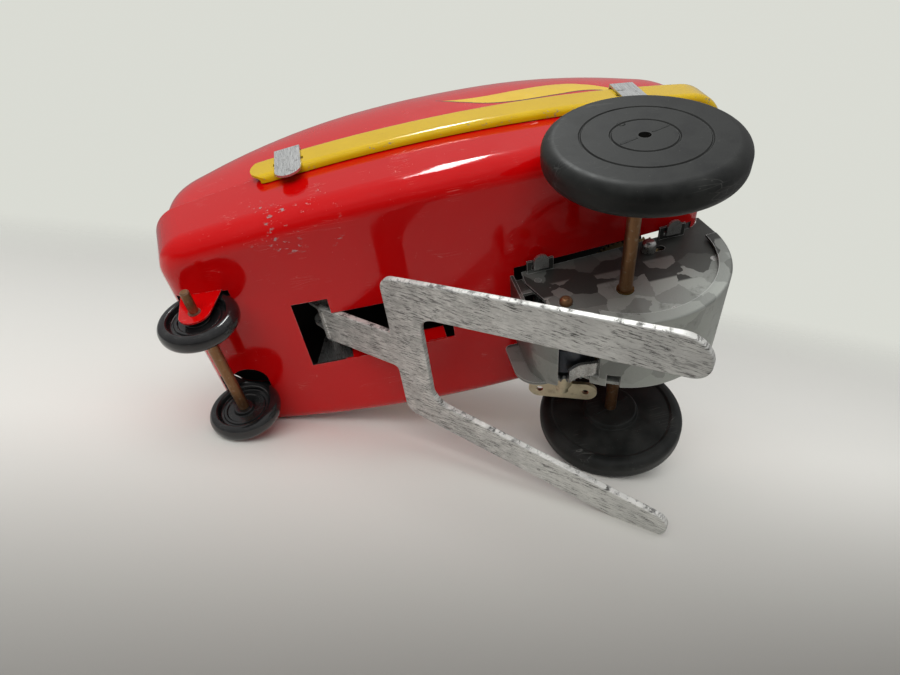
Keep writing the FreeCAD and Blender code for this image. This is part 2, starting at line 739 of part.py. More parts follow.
def axle_bushes():
    """Eyelets for the rear axle: thin ones, the left collared inside, the right outside."""
    bore = REAR_AXLE_R + RUN
    eyelets = []
    for y0, y1, collar in ((PLATE_L - PLATE_T, PLATE_L + 0.3, -0.45), (PLATE_R, PLATE_R + PLATE_T, -0.5)):
        barrel = ring_y(0, 0, bore, BUSH_R, y0 + collar, y1)
        rim = ring_y(0, 0, bore, COLLAR_R, y0 + collar, y0 - CLEAR)
        eyelets.append(barrel.fuse(rim).removeSplitter())
    return Part.makeCompound(eyelets)


def axle_sleeve():
    """The spacer tube on the axle outside the pinion."""
    tube = ring_y(0, 0, REAR_AXLE_R, SLEEVE_R, -24.6, -15.5)
    rim = edges_where(tube, lambda e, m: m.y < -24.5 and abs(e.Curve.Radius - SLEEVE_R) < 0.01)
    return tube.makeFillet(0.6, rim)


def mainspring():
    """A flat spring wound round the arbor, its outer end eased on to a pillar side."""
    turns, r0, r1, t = 7.0, ARBOR_R + 0.15, 6.75, 0.3
    per_turn = 16

    def spiral(shift):
        pts = []
        for i in range(int(turns * per_turn) + 1):
            share = i / (turns * per_turn)
            r = r0 + shift + (r1 - r0 - t) * share
            x, z = polar(ARBOR_X, ARBOR_Z, r, 360 * turns * share)
            pts.append(V(x, 0, z))
        curve = Part.BSplineCurve()
        curve.interpolate(pts)
        return curve.toShape(), pts
    inside, pts_in = spiral(0.0)
    outside, pts_out = spiral(t)
    wire = Part.Wire([
        inside,
        Part.makeLine(pts_in[-1], pts_out[-1]),
        outside,
        Part.makeLine(pts_out[0], pts_in[0]),
    ])
    face = Part.Face(wire)
    face.translate(V(0, GREAT_Y + GREAT_T + 1.45, 0))
    return face.extrude(V(0, 7.0, 0))


def winding_arbor():
    bar = cyl_y(ARBOR_X, ARBOR_Z, ARBOR_R, KEY_Y[1], PLATE_L + 1.4)
    dome = edges_where(bar, lambda e, m: m.y > PLATE_L + 1.3)
    return bar.makeFillet(0.9, dome)


def winding_key():
    """A two-winged key: a round hub tube and a flat plate of two lobes with an eye in each."""
    y0, y1 = KEY_Y
    lobe_r = (y1 - y0) / 2
    y_mid = (y0 + y1) / 2
    hub = ring_y(0, 0, ARBOR_R, HUB_R, y1 - 0.4, y1 + HUB_L)
    off = KEY_REACH - lobe_r
    wings = box(-off, off, y0, y1, -KEY_T / 2, KEY_T / 2)
    for x in (off, -off):
        wings = wings.fuse(Part.makeCylinder(lobe_r, KEY_T, V(x, y_mid, -KEY_T / 2)))
        wings = wings.cut(Part.makeCylinder(KEY_EYE_R, KEY_T + 2, V(x, y_mid, -KEY_T / 2 - 1)))
    wings = wings.fuse(cyl_y(0, 0, 1.6, y_mid, y1))
    key = wings.fuse(hub).removeSplitter()
    key.rotate(V(0, 0, 0), UP_Y, -KEY_TILT)
    return largest(key).translated(V(ARBOR_X, 0, ARBOR_Z))


def click():
    """The pawl on the great wheel, its nose just clear of the ratchet's tips."""
    px, pz = click_pivot()
    tip = polar(ARBOR_X, ARBOR_Z, 4.75, 55)
    heel = polar(ARBOR_X, ARBOR_Z, 6.2, 60)
    y0, y1 = beside_great_wheel()
    boss = 1.0
    out = polar(px, pz, boss, 20)
    back = polar(px, pz, 0.6, 200)
    body = prism_y(poly_xz([back, out, heel, tip]), y0, y1).fuse(cyl_y(px, pz, boss, y0, y1))
    body = body.cut(cyl_y(px, pz, CLICK_RIVET_R + RUN, y0 - 1, y1 + 1))
    return largest(body.removeSplitter())


def click_rivet():
    px, pz = click_pivot()
    top = beside_great_wheel()[1]
    pin = cyl_y(px, pz, CLICK_RIVET_R, GREAT_Y, top)
    return pin.fuse(cyl_y(px, pz, 1.0, top, top + 0.25)).removeSplitter()


def stop_lever():
    """A waved strip under the spring that pivots on the right plate."""
    x0, z0 = STOP_PIVOT
    t, span, fall, wave, steps = 0.8, 10.0, 1.6, 0.55, 16
    upper, lower = [], []
    for i in range(steps + 1):
        s = i / steps
        z = z0 - fall * s - wave * math.sin(2 * math.pi * s)
        upper.append(V(x0 + span * s, 0, z))
        lower.append(V(x0 + span * s, 0, z - t))
    curves = []
    for pts in (upper, lower):
        curve = Part.BSplineCurve()
        curve.interpolate(pts)
        curves.append(curve.toShape())
    wire = Part.Wire([curves[0], Part.makeLine(upper[-1], lower[-1]), curves[1],
                      Part.makeLine(lower[0], upper[0])])
    y0, y1 = STOP_Y
    strip = Part.Face(wire).extrude(V(0, y1 - y0, 0)).translated(V(0, y0, 0))
    eye = cyl_y(x0, z0, 1.7, y0, y1)
    return largest(strip.fuse(eye).cut(cyl_y(x0, z0, STOP_PIN_R + RUN, -20, 20)).removeSplitter())


def stop_pin():
    x0, z0 = STOP_PIVOT
    return cyl_y(x0, z0, STOP_PIN_R, PLATE_R - 0.4, STOP_Y[1] + 0.6)


# ---------------------------------------------------------------- flip lever
def fork_outline():
    """The fork's flat blank: (forward, sideways, rounding) corners, left half then right."""
    half = [
        (26.0, STEM_HALF, 0), (4.4, STEM_HALF, 1.2), (4.4, 21.4, 3.5), (-6.5, 23.1, 12.0),
        (-61.4, 31.0, 5.0), (-61.0, 21.8, 3.4), (-4.4, 13.4, 4.5),
    ]
    return half + [(s, -y, r) for s, y, r in reversed(half)]


def on_fork(shape):
    """Tips a shape drawn flat round the cross bar down to the fork's slope."""
    shape.rotate(V(0, 0, 0), UP_Y, -LEVER_SLOPE)
    return shape.translated(V(LEVER_X, 0, LEVER_Z))


def flip_fork():
    """The forked blank cut from thick sheet: stem, cross bar and two legs, edges eased."""
    blank = prism_y(rounded(fork_outline()), -LEVER_T / 2, LEVER_T / 2)
    blank.rotate(V(0, 0, 0), V(1, 0, 0), -90)
    rims = edges_where(blank, lambda e, m: abs(abs(m.z) - LEVER_T / 2) < 1e-4 and m.x < 25.9)
    return on_fork(blank.makeFillet(LEVER_EDGE, rims))


def lever_neck():
    """The neck bent up from the stem, through the slot to the pivot."""
    a = math.radians(LEVER_SLOPE)
    foot_x = LEVER_X + 25.0 * math.cos(a) - 1.0
    foot_z = LEVER_Z + 25.0 * math.sin(a) - 1.0
    top_x, top_z = PIVOT_X - 2.2, PIVOT_Z + 1.5
    t = LEVER_T
    return prism_y(poly_xz([(foot_x, foot_z), (foot_x + t * 1.1, foot_z), (top_x + t, top_z),
                            (top_x, top_z)]), -4.6, 4.6)


def lever_ears():
    """Two ears at the top of the neck; the left one carries the push rod's hole."""
    shapes = []
    for y0 in (2.9, -3.9):
        plate = cyl_y(PIVOT_X, PIVOT_Z, 3.0, y0, y0 + 1.0)
        web = prism_y(poly_xz([(PIVOT_X - 2.9, PIVOT_Z - 4.5), (PIVOT_X + 0.6, PIVOT_Z - 4.5),
                               (PIVOT_X + 2.8, PIVOT_Z - 1.0), (PIVOT_X + 2.8, PIVOT_Z + 1.2),
                               (PIVOT_X - 2.9, PIVOT_Z + 1.6)]), y0, y0 + 1.0)
        plate = plate.fuse(web)
        if y0 > 0:
            eye_z = PIVOT_Z + ARM
            arm = poly_xz([(PIVOT_X - 2.4, PIVOT_Z), (PIVOT_X + 2.4, PIVOT_Z),
                           (PIVOT_X + 1.7, eye_z), (PIVOT_X - 1.7, eye_z)])
            eye = cyl_y(PIVOT_X, eye_z, 1.7, y0, y0 + 1.0)
            plate = plate.fuse([prism_y(arm, y0, y0 + 1.0), eye])
            plate = plate.cut(cyl_y(PIVOT_X, eye_z, ROD_R + RUN, y0 - 1, y0 + 2))
        shapes.append(plate)
    return shapes


def flip_lever():
    lever = flip_fork().fuse([lever_neck()] + lever_ears())
    lever = lever.cut(cyl_y(PIVOT_X, PIVOT_Z, PIVOT_R + RUN, -20, 20))
    return largest(lever.removeSplitter())


def lever_pin():
    reach = BRACKET_Y + 2 * BRACKET_T
    return cyl_y(PIVOT_X, PIVOT_Z, PIVOT_R, -reach, reach)


def lever_brackets():
    """Two upright lugs on the pan, either side of the slot, that hold the pivot pin."""
    lugs = []
    for side in (1, -1):
        y0, y1 = sorted((side * BRACKET_Y, side * (BRACKET_Y + BRACKET_T)))
        floor = belly_z(PIVOT_X + 5) + TIN + 0.2
        lug = prism_y(poly_xz([(PIVOT_X - 5, floor), (PIVOT_X + 5, floor), (PIVOT_X + 2.6, PIVOT_Z),
                               (PIVOT_X - 2.6, PIVOT_Z)]), y0, y1)
        lug = lug.fuse(cyl_y(PIVOT_X, PIVOT_Z, 2.6, y0, y1))
        ys = sorted((side * BRACKET_Y, side * (BRACKET_Y + 6.0)))
        foot = box(PIVOT_X - 5, PIVOT_X + 5, *ys, floor, floor + BRACKET_T)
        lug = lug.fuse(foot).cut(cyl_y(PIVOT_X, PIVOT_Z, PIVOT_R, -20, 20))
        lugs.append(largest(lug.removeSplitter()))
    return Part.makeCompound(lugs)


def push_rod():
    """A cranked wire from the lever's arm back over the crank wheel, hooked at its front."""
    front = (PIVOT_X, PIVOT_Z + ARM)
    rear = (CRANK_X + 3.0, 20.5)
    y = ROD_Y
    dx, dz = rear[0] - front[0], rear[1] - front[1]
    length = math.hypot(dx, dz)
    bar = Part.makeCylinder(ROD_R, length, V(front[0], y, front[1]), V(dx, 0, dz))
    hook = cyl_y(front[0], front[1], ROD_R, 1.9, y)
    drop = Part.makeCylinder(ROD_R, ROD_DROP, V(rear[0], y, rear[1]), V(0, 0, -1))
    knees = [Part.makeSphere(ROD_R, V(p[0], y, p[1])) for p in (front, rear)]
    return largest(bar.fuse([hook, drop] + knees).removeSplitter())


# ---------------------------------------------------------------- write the pieces
def build():
    """Every piece by name, in the body frame."""
    return {
        "top_shell": top_shell(),
        "bottom_pan": bottom_pan(),
        "seam_trim_left": trim_strip(1),
        "seam_trim_right": trim_strip(-1),
        "seam_tabs": seam_tabs(),
        "front_axle": front_axle(),
        "front_wheel_left": front_wheel(1),
        "front_wheel_right": front_wheel(-1),
        "rear_axle": rear_axle(),
        "rear_wheel_left": rear_wheel(1),
        "rear_wheel_right": rear_wheel(-1),
        "axle_pinion": axle_pinion(),
        "crank_pinion": crank_pinion(),
        "axle_sleeve": axle_sleeve(),
        "axle_bushes": axle_bushes(),
        "motor_plate_left": motor_plate(PLATE_L - PLATE_T, True),
        "motor_plate_right": motor_plate(PLATE_R, False),
        "motor_pillars": motor_pillars(),
        "drum_band": drum_band(),
        "front_strap": front_strap(),
        "fixing_tongues": fixing_tongues(),
        "mainspring": mainspring(),
        "winding_arbor": winding_arbor(),
        "winding_key": winding_key(),
        "ratchet_wheel": ratchet_wheel(),
        "great_wheel": great_wheel(),
        "click": click(),
        "click_rivet": click_rivet(),
        "crank_wheel": crank_wheel(),
        "crank_arbor": crank_arbor(),
        "crank_pin": crank_pin(),
        "stop_lever": stop_lever(),
        "stop_pin": stop_pin(),
        "flip_lever": flip_lever(),
        "lever_pin": lever_pin(),
        "lever_brackets": lever_brackets(),
        "push_rod": push_rod(),
    }


def ground_place(pieces):
    """How far to move the raked car so that the middle of its lowest level is the origin."""
    bound = FreeCAD.BoundBox()
    for piece in pieces.values():
        bound.add(piece.optimalBoundingBox(False, False))
    return V(-bound.Center.x, 0, -bound.ZMin)


def raked(pieces):
    """The pieces tipped nose down by RAKE."""
    tipped = {}
    for name, shape in pieces.items():
        tipped[name] = shape.copy()
        tipped[name].rotate(V(0, 0, 0), UP_Y, RAKE)
    return tipped


def main():
    os.makedirs("parts", exist_ok=True)
    pieces = raked(build())
    place = ground_place(pieces)
    for name, piece in pieces.items():
        piece.translated(place).exportStep(f"parts/{name}.step")


if __name__ == "__main__":
    main()
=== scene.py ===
"""The looks of a wind-up tin somersaulting car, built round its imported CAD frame.

The car keeps its own upright frame: X to the nose, Y to its left, Z up. It lies on its right
side, so the pale floor is a plane on that side, and the camera looks at the underside.
"""
import json
import math
import bmesh
import bpy
import numpy as np
from mathutils import Matrix, Vector


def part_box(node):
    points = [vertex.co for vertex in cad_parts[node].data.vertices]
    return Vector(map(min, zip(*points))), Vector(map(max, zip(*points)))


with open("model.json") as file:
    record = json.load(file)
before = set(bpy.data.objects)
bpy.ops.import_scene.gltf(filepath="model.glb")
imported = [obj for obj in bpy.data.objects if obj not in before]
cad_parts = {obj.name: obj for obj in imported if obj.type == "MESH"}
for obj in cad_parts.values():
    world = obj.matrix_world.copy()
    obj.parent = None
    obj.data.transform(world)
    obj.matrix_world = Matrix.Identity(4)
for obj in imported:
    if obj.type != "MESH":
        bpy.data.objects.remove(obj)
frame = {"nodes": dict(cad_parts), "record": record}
NODES = frame["nodes"]
MM = 0.001
RAKE = math.radians(12.5)      # nose-down angle of the body over its wheels
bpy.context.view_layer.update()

AXLE = (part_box("rear_axle")[0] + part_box("rear_axle")[1]) / 2

# camera
EYE = AXLE + Vector((0.0303, 0.0982, -0.1063))
AIM = AXLE + Vector((0.0403, 0.0, -0.0054))
UPWARD = Vector((-0.0724, 0.7108, 0.6997))
LENS = 24.5

# paper
FLOOR_HALF = 0.9
NEAR_PAINTED_SHADE, FAR_PAINTED_LIGHT = -0.12, 0.03   # where the painted shade on the paper is darkest and its painted light brightest, from its middle
FADE_FROM, FADE_TO = 0.20, 0.70     # how far out the paper melts into the surroundings
PAINTED_LIGHT_LEFT = 0.22                   # how much the painted light on the paper also grows towards the left
CAR_MIDDLE_X = 0.035                # from the rear axle
RIGHT_LEG_Y = -0.028                # the lever's right leg is beyond this
SETTLE_ROUNDS = 12

# surfaces; lengths in millimetres in the body's own directions from the rear axle
SHARP = math.radians(28)            # edges bent more than this stay crisp
EDGE_DOT, FLAT_DOT = 0.88, 0.99     # bevelled normal against true normal, on an edge and a flat
RUBBED_X, RUBBED_Y, RUBBED_Z = (54, 82), 20, 26   # the chipped patch low on the left shoulder
TRIM_BOTTOM_Z = 30.9
TRIM_TAIL_X = -36.3
FLAME_TAIL_X, FLAME_TIP_X = -22.0, 30.0
FLAME_INK = 0.5                     # width of the dark line round the flame
FLAME_LOWER = ((-22.0, 36.5), (-12.7, 42.3), (-6.8, 44.6), (2.0, 44.0), (9.8, 43.6), (16.3, 44.4),
               (23.7, 48.2), (30.0, 53.3))
FLAME_UPPER = ((-22.0, 36.5), (-13.4, 43.9), (-8.2, 48.3), (-3.0, 50.6), (3.0, 50.9), (10.3, 50.2),
               (19.9, 49.7), (26.0, 50.8), (30.0, 53.3))
PAINTED_DARK_REFLECTION_Z = 1.6                   # the motor's sheet is painted dark above this, a painted reflection of its dark surroundings over its own spangles
NUB_X, NUB_Z = 2.2, 5.6             # moulding nub on the face of a rear wheel
SLOT_X, SLOT_HALF = (38.0, 66.0), 11.0
EAR_X, EAR_Z = 80.0, 13.0


def in_body(co):
    """A row-frame point in the body's own directions from the rear axle, in millimetres."""
    d = Vector(co) - AXLE
    along = d.x * math.cos(RAKE) - d.z * math.sin(RAKE)
    up = d.x * math.sin(RAKE) + d.z * math.cos(RAKE)
    return Vector((along, d.y, up)) / MM


# ------------------------------------------------------------------ material building
class Paint:
    """A short way to wire one procedural material."""

    def __init__(self, name):
        self.mat = bpy.data.materials.new(name)
        self.mat.use_nodes = True
        self.tree = self.mat.node_tree
        self.bsdf = self.tree.nodes["Principled BSDF"]
        coords = self.tree.nodes.new("ShaderNodeTexCoord")
        self.place = coords.outputs["Object"]

    def node(self, kind, **values):
        made = self.tree.nodes.new(kind)
        for key, value in values.items():
            setattr(made, key, value)
        return made

    def link(self, a, b):
        self.tree.links.new(a, b)

    def put(self, socket, value):
        if hasattr(value, "links"):
            self.link(value, socket)
        elif isinstance(value, tuple) and len(value) == 3 and socket.type == "RGBA":
            socket.default_value = (*value, 1)
        else:
            socket.default_value = value

    def raked(self, scale=(1, 1, 1)):
        """Position in the body's own raked directions, in millimetres times scale."""
        turn = self.node("ShaderNodeMapping", vector_type="TEXTURE")
        turn.inputs["Location"].default_value = AXLE
        turn.inputs["Rotation"].default_value = (0, RAKE, 0)
        turn.inputs["Scale"].default_value = (MM, MM, MM)
        self.link(self.place, turn.inputs["Vector"])
        if scale == (1, 1, 1):
            return turn.outputs[0]
        sized = self.node("ShaderNodeVectorMath", operation="MULTIPLY")
        self.link(turn.outputs[0], sized.inputs[0])
        sized.inputs[1].default_value = scale
        return sized.outputs[0]

    def split(self, vector):
        made = self.node("ShaderNodeSeparateXYZ")
        self.link(vector, made.inputs[0])
        return made.outputs

    def noise(self, vector, scale, detail=4.0, rough=0.55):
        made = self.node("ShaderNodeTexNoise")
        self.link(vector, made.inputs["Vector"])
        made.inputs["Scale"].default_value = scale
        made.inputs["Detail"].default_value = detail
        made.inputs["Roughness"].default_value = rough
        return made.outputs["Fac"]

    def cells(self, vector, scale, feature="F1", out="Distance"):
        made = self.node("ShaderNodeTexVoronoi", feature=feature)
        self.link(vector, made.inputs["Vector"])
        made.inputs["Scale"].default_value = scale
        return made.outputs[out]

    def math(self, operation, a, b=0.0, c=0.0):
        made = self.node("ShaderNodeMath", operation=operation)
        for socket, value in zip(made.inputs, (a, b, c)):
            self.put(socket, value)
        return made.outputs[0]

    def ramp(self, value, low, high, to_low=0.0, to_high=1.0):
        """A smooth step of a value between two levels."""
        made = self.node("ShaderNodeMapRange", interpolation_type="SMOOTHSTEP")
        self.put(made.inputs["Value"], value)
        made.inputs["From Min"].default_value = low
        made.inputs["From Max"].default_value = high
        made.inputs["To Min"].default_value = to_low
        made.inputs["To Max"].default_value = to_high
        return made.outputs["Result"]

    def curve(self, value, low, high, points):
        """A smooth curve through (value, result) points between two levels."""
        share = self.math("DIVIDE", self.math("SUBTRACT", value, low), high - low)
        made = self.node("ShaderNodeFloatCurve")
        knots = made.mapping.curves[0].points
        results = [r for _, r in points]
        floor, span = min(results), max(results) - min(results)
        for i, (at, result) in enumerate(points):
            place = ((at - low) / (high - low), (result - floor) / span)
            if i < 2:
                knots[i].location = place
            else:
                knots.new(*place)
        made.mapping.update()
        self.put(made.inputs["Value"], share)
        return self.math("MULTIPLY_ADD", made.outputs[0], span, floor)

    def mix(self, share, a, b):
        made = self.node("ShaderNodeMix", data_type="RGBA")
        self.put(made.inputs[0], share)
        self.put(made.inputs[6], a)
        self.put(made.inputs[7], b)
        return made.outputs[2]

    def blend(self, share, a, b):
        made = self.node("ShaderNodeMix", data_type="FLOAT")
        self.put(made.inputs[0], share)
        self.put(made.inputs[2], a)
        self.put(made.inputs[3], b)
        return made.outputs[0]

    def bump(self, height, depth_mm, strength=1.0, under=None):
        made = self.node("ShaderNodeBump")
        made.inputs["Strength"].default_value = strength
        made.inputs["Distance"].default_value = depth_mm * MM
        self.put(made.inputs["Height"], height)
        if under is not None:
            self.link(under, made.inputs["Normal"])
        return made.outputs["Normal"]

    def worn_edges(self, radius_mm):
        """One on convex edges and zero on flats, from the bevelled normal."""
        bevel = self.node("ShaderNodeBevel", samples=6)
        bevel.inputs["Radius"].default_value = radius_mm * MM
        geometry = self.node("ShaderNodeNewGeometry")
        dot = self.node("ShaderNodeVectorMath", operation="DOT_PRODUCT")
        self.link(bevel.outputs[0], dot.inputs[0])
        self.link(geometry.outputs["Normal"], dot.inputs[1])
        return self.ramp(dot.outputs["Value"], EDGE_DOT, FLAT_DOT, 1.0, 0.0)

    def set(self, **values):
        names = {"colour": "Base Color", "rough": "Roughness", "metal": "Metallic",
                 "normal": "Normal", "coat": "Coat Weight", "coat_rough": "Coat Roughness",
                 "specular": "Specular IOR Level", "aniso": "Anisotropic"}
        for key, value in values.items():
            self.put(self.bsdf.inputs[names[key]], value)
        return self.mat


def scratches(paint, vector, scale, angle, thin=0.012, keep=0.6):
    """Fine straight scuffs running one way, broken up along their length."""
    turn = paint.node("ShaderNodeMapping")
    turn.inputs["Rotation"].default_value = (angle, angle * 0.7, angle)
    turn.inputs["Scale"].default_value = (0.06, 1.0, 1.0)
    paint.link(vector, turn.inputs["Vector"])
    line = paint.cells(turn.outputs[0], scale, feature="DISTANCE_TO_EDGE")
    near = paint.ramp(line, 0.0, thin, 1.0, 0.0)
    where = paint.ramp(paint.noise(vector, scale * 0.11, 3.0), keep, keep + 0.08)
    return paint.math("MULTIPLY", near, where)


def red_enamel():
    """Glossy dipped enamel on the pan: chips to grey tin, hairline scuffs, dust."""
    p = Paint("red_enamel")
    v = p.raked()
    tone = p.noise(v, 0.03, 3.0)
    red = p.mix(tone, (0.41, 0.0006, 0.0012), (0.50, 0.0012, 0.0020))
    chip_map = p.noise(p.raked((0.6, 1.2, 1.2)), 0.85, 6.0, 0.75)
    cluster = p.ramp(p.noise(v, 0.17, 3.0), 0.50, 0.58)
    chip_area = p.ramp(p.noise(v, 0.052, 2.0), 0.60, 0.72)
    x, y, z = p.split(v)
    front = p.math("MULTIPLY", p.ramp(x, RUBBED_X[0], RUBBED_X[0] + 8),
                   p.ramp(x, RUBBED_X[1] - 8, RUBBED_X[1], 1.0, 0.0))
    left = p.ramp(y, RUBBED_Y, RUBBED_Y + 7)
    low = p.ramp(z, RUBBED_Z - 4, RUBBED_Z, 1.0, 0.0)
    rubbed = p.math("MULTIPLY", p.math("MULTIPLY", front, left), low)
    area = p.math("MAXIMUM", p.math("MULTIPLY", chip_area, 0.35), rubbed)
    chips = p.math("MULTIPLY", p.ramp(chip_map, 0.575, 0.60),
                   p.math("MULTIPLY", p.ramp(area, 0.45, 0.8), cluster))
    specks = p.math("MULTIPLY", p.ramp(chip_map, 0.665, 0.68), p.ramp(area, 0.25, 0.5))
    chips = p.math("MAXIMUM", chips, specks)
    edges = p.worn_edges(0.12)
    edge_chip = p.math("MULTIPLY", edges, p.ramp(p.noise(v, 0.9, 4.0), 0.42, 0.52))
    bare = p.math("MAXIMUM", chips, edge_chip)
    hair = p.math("MAXIMUM", scratches(p, v, 1.4, 0.5), scratches(p, v, 1.1, 2.3, keep=0.64))
    colour = p.mix(p.math("MULTIPLY", hair, 0.8), red, (0.62, 0.22, 0.20))
    dust = p.math("MULTIPLY", p.ramp(p.cells(v, 1.15), 0.035, 0.06, 1.0, 0.0),
                  p.ramp(p.noise(v, 0.4, 2.0), 0.56, 0.62))
    colour = p.mix(p.math("MULTIPLY", dust, 0.6), colour, (0.75, 0.62, 0.60))
    colour = p.mix(bare, colour, (0.40, 0.39, 0.38))
    peel = p.bump(p.noise(v, 0.55, 2.0), 0.018, 0.5)
    step = p.bump(p.math("SUBTRACT", 1.0, p.math("MAXIMUM", bare, p.math("MULTIPLY", hair, 0.4))),
                  0.03, 0.7, peel)
    smear = p.ramp(p.noise(v, 0.09, 5.0, 0.7), 0.35, 0.75, 0.07, 0.17)
    return p.set(colour=colour, rough=p.blend(bare, smear, 0.42),
                 metal=p.math("MULTIPLY", bare, 0.9), normal=step, coat=0.22, coat_rough=0.03,
                 specular=0.3)


def flame_mask(p, v, grow):
    """The printed flame on each side: a fat wave over the rear wheel, a thin tip at each end."""
    x, _, z = p.split(v)
    lower = p.curve(x, FLAME_TAIL_X, FLAME_TIP_X, FLAME_LOWER)
    upper = p.curve(x, FLAME_TAIL_X, FLAME_TIP_X, FLAME_UPPER)
    above = p.math("SUBTRACT", z, p.math("SUBTRACT", lower, grow))
    below = p.math("SUBTRACT", upper, z)
    inked = p.ramp(p.math("MINIMUM", above, below), 0.0, 0.12)
    ends = p.math("MULTIPLY", p.ramp(x, FLAME_TAIL_X, FLAME_TAIL_X + 0.4),
                  p.ramp(x, FLAME_TIP_X - 0.4, FLAME_TIP_X, 1.0, 0.0))
    return p.math("MULTIPLY", inked, ends)


def red_litho():
    """Printed tinplate of the top shell, red with a yellow flame along each side."""
    p = Paint("red_litho")
    v = p.raked()
    tone = p.noise(v, 0.04, 3.0)
    red = p.mix(tone, (0.46, 0.0016, 0.0030), (0.54, 0.0026, 0.0040))
    dots = p.cells(v, 3.2)
    red = p.mix(p.ramp(dots, 0.1, 0.4, 0.06, 0.0), red, (0.40, 0.003, 0.006))
    outline = p.mix(flame_mask(p, v, FLAME_INK), red, (0.06, 0.010, 0.01))
    fill = p.mix(p.noise(v, 0.2, 3.0), (0.62, 0.40, 0.008), (0.70, 0.47, 0.014))
    colour = p.mix(flame_mask(p, v, 0.0), outline, fill)
    hair = scratches(p, v, 1.2, 1.2, keep=0.58)
    colour = p.mix(p.math("MULTIPLY", hair, 0.5), colour, (0.62, 0.42, 0.40))
    peel = p.bump(p.noise(v, 0.4, 2.0), 0.02, 0.4)
    rough = p.ramp(p.noise(v, 0.12, 5.0, 0.7), 0.3, 0.8, 0.16, 0.30)
    return p.set(colour=colour, rough=rough, normal=peel, coat=0.25, coat_rough=0.08, specular=0.4)


def yellow_enamel():
    """Bright enamel of the trims, chipped along the lower edge, rusty at the cut ends."""
    p = Paint("yellow_enamel")
    v = p.raked()
    x, _, z = p.split(v)
    base = p.mix(p.noise(v, 0.15, 4.0), (0.50, 0.325, 0.0015), (0.60, 0.40, 0.003))
    grime = p.ramp(p.noise(v, 0.7, 5.0, 0.7), 0.58, 0.8)
    base = p.mix(p.math("MULTIPLY", grime, 0.45), base, (0.28, 0.16, 0.02))
    edge = p.worn_edges(0.25)
    lower = p.ramp(z, TRIM_BOTTOM_Z - 0.3, TRIM_BOTTOM_Z + 0.3, 1.0, 0.0)
    chance = p.ramp(p.noise(v, 0.55, 6.0, 0.7), 0.60, 0.64)
    bare = p.math("MULTIPLY", p.math("MAXIMUM", edge, lower), chance)
    tail = p.ramp(x, TRIM_TAIL_X - 0.7, TRIM_TAIL_X + 0.7, 1.0, 0.0)
    rust = p.math("MULTIPLY", tail, p.ramp(p.noise(v, 0.9, 4.0), 0.4, 0.55))
    colour = p.mix(bare, base, (0.30, 0.28, 0.25))
    colour = p.mix(rust, colour, (0.14, 0.055, 0.02))
    normal = p.bump(p.noise(v, 0.6, 3.0), 0.03, 0.5)
    normal = p.bump(p.math("SUBTRACT", 1.0, bare), 0.03, 0.8, normal)
    rough = p.blend(p.math("MAXIMUM", bare, rust), 0.16, 0.55)
    return p.set(colour=colour, rough=rough, metal=p.math("MULTIPLY", bare, 0.7), normal=normal,
                 coat=0.25, coat_rough=0.07, specular=0.4)


def bare_tin():
    """Dull tinplate with fine streaks across the tab and dark grime in blotches."""
    p = Paint("bare_tin")
    v = p.raked()
    fine = p.noise(p.raked((9.0, 9.0, 0.5)), 0.8, 5.0, 0.7)
    blotch = p.noise(v, 0.5, 4.0)
    colour = p.mix(fine, (0.42, 0.43, 0.43), (0.78, 0.78, 0.77))
    colour = p.mix(p.ramp(blotch, 0.58, 0.72), colour, (0.20, 0.19, 0.17))
    rough = p.ramp(fine, 0.3, 0.7, 0.22, 0.42)
    return p.set(colour=colour, rough=rough, metal=0.95, normal=p.bump(fine, 0.02, 0.5), aniso=0.4)


def bronze_rod():
    """Brown bronzed wire with drawn streaks along it and worn pale spots."""
    p = Paint("bronze_rod")
    v = p.raked((6.0, 0.35, 6.0))
    streak = p.noise(v, 0.9, 5.0, 0.65)
    spots = p.ramp(p.noise(p.raked(), 0.9, 4.0), 0.55, 0.7)
    colour = p.mix(streak, (0.12, 0.058, 0.026), (0.36, 0.19, 0.090))
    colour = p.mix(p.math("MULTIPLY", spots, 0.6), colour, (0.36, 0.27, 0.19))
    edge = p.worn_edges(0.2)
    colour = p.mix(edge, colour, (0.42, 0.40, 0.37))
    return p.set(colour=colour, rough=p.ramp(streak, 0.3, 0.7, 0.30, 0.48), metal=0.85,
                 normal=p.bump(streak, 0.02, 0.6))


